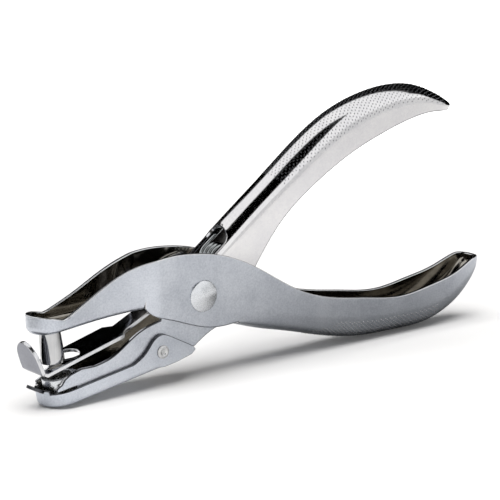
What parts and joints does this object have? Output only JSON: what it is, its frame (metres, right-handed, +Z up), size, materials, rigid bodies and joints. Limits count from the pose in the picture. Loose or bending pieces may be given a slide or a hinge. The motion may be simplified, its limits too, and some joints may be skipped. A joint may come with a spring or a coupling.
{
  "type": "hole punch",
  "caption": "Hand-held single-hole paper punch with two pivoted pressed-steel levers, a round punch pin over a die, a stripper spring and a hinged chip tray.",
  "frame": {"origin": "centre of the bounding box in plan, at the level of the surface it stands on", "axes": "+X from the jaws towards the handle ends, +Y across the levers, +Z up; it stands on the tray's nose and the lower handle's belly"},
  "size_m": [0.158, 0.017, 0.0736],
  "materials": {
    "lever_plate": "bright plated pressed sheet, satin on the flat cheeks",
    "tray_plate": "satin plated sheet",
    "rivet_steel": "plated, domed heads",
    "pin_steel": "ground and polished tool steel",
    "strip_steel": "bright rolled spring strip",
    "spring_wire": "drawn spring wire"
  },
  "bodies": {
    "die_side": {"die_lever": "lever_plate", "die_block": "pin_steel", "stripper": "strip_steel", "pivot_sleeve": "rivet_steel", "return_spring": "spring_wire", "tray_pins": "rivet_steel"},
    "punch_side": {"punch_lever": "lever_plate", "punch_pin": "pin_steel", "pivot_rivet": "rivet_steel"},
    "tray": {"chip_tray": "tray_plate"}
  },
  "joints": [
    {"name": "squeeze", "type": "hinge", "parent": "die_side", "child": "punch_side", "pos_m": [-0.02615, 0, 0.0234], "axis": [0, -1, 0], "range_deg": [0, 6.5], "stiffness_Nm_per_rad": 1.2, "springref_deg": -20.05, "deforming": ["return_spring"]},
    {"name": "tray_swing", "type": "hinge", "parent": "die_side", "child": "tray", "pos_m": [-0.03965, 0, 0.0101], "axis": [0, -1, 0], "range_deg": [0, 25]}
  ]
}
